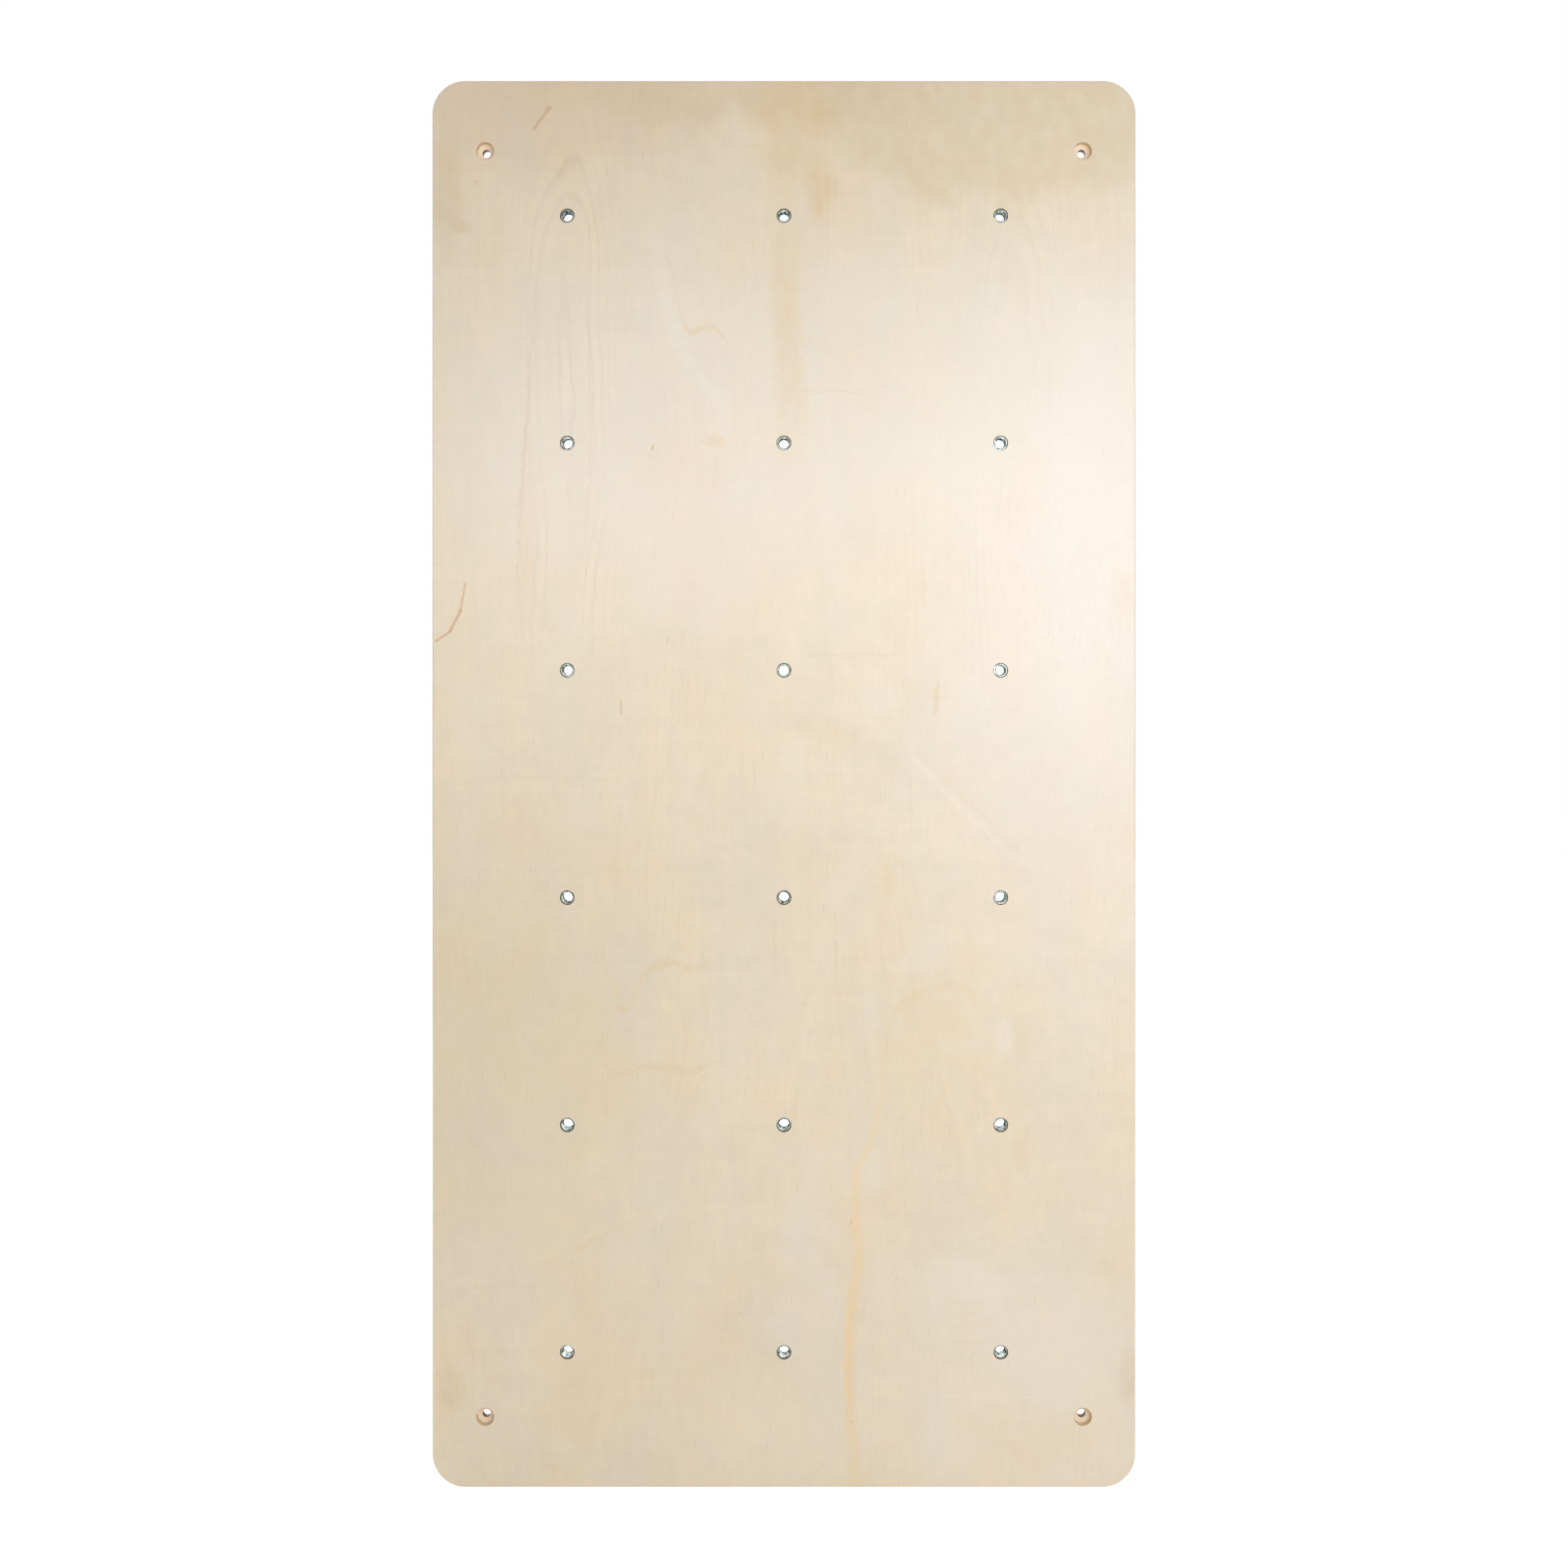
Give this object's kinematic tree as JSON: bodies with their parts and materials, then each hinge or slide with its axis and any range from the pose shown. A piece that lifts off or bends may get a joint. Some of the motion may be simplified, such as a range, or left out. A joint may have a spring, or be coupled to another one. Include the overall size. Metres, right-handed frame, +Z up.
{
  "type": "climbing wall board",
  "caption": "Wall-mounted plywood climbing board with round corners, counterbored corner screw holes and a grid of threaded hold nuts.",
  "frame": {"origin": "centre of the rear face, where the board meets the wall", "axes": "+Z up along the board's height, front face towards -Y, +X to the right when seen from the front"},
  "size_m": [0.6, 0.015, 1.2],
  "materials": {
    "birch_plywood": "sanded birch face veneer with a thin clear satin finish",
    "zinc_plated_steel": "bright blue-passivated zinc plate"
  },
  "bodies": {
    "root": {"board": "birch_plywood", "hold_nut_r1c1": "zinc_plated_steel", "hold_nut_r1c2": "zinc_plated_steel", "hold_nut_r1c3": "zinc_plated_steel", "hold_nut_r2c1": "zinc_plated_steel", "hold_nut_r2c2": "zinc_plated_steel", "hold_nut_r2c3": "zinc_plated_steel", "hold_nut_r3c1": "zinc_plated_steel", "hold_nut_r3c2": "zinc_plated_steel", "hold_nut_r3c3": "zinc_plated_steel", "hold_nut_r4c1": "zinc_plated_steel", "hold_nut_r4c2": "zinc_plated_steel", "hold_nut_r4c3": "zinc_plated_steel", "hold_nut_r5c1": "zinc_plated_steel", "hold_nut_r5c2": "zinc_plated_steel", "hold_nut_r5c3": "zinc_plated_steel", "hold_nut_r6c1": "zinc_plated_steel", "hold_nut_r6c2": "zinc_plated_steel", "hold_nut_r6c3": "zinc_plated_steel"}
  },
  "joints": []
}
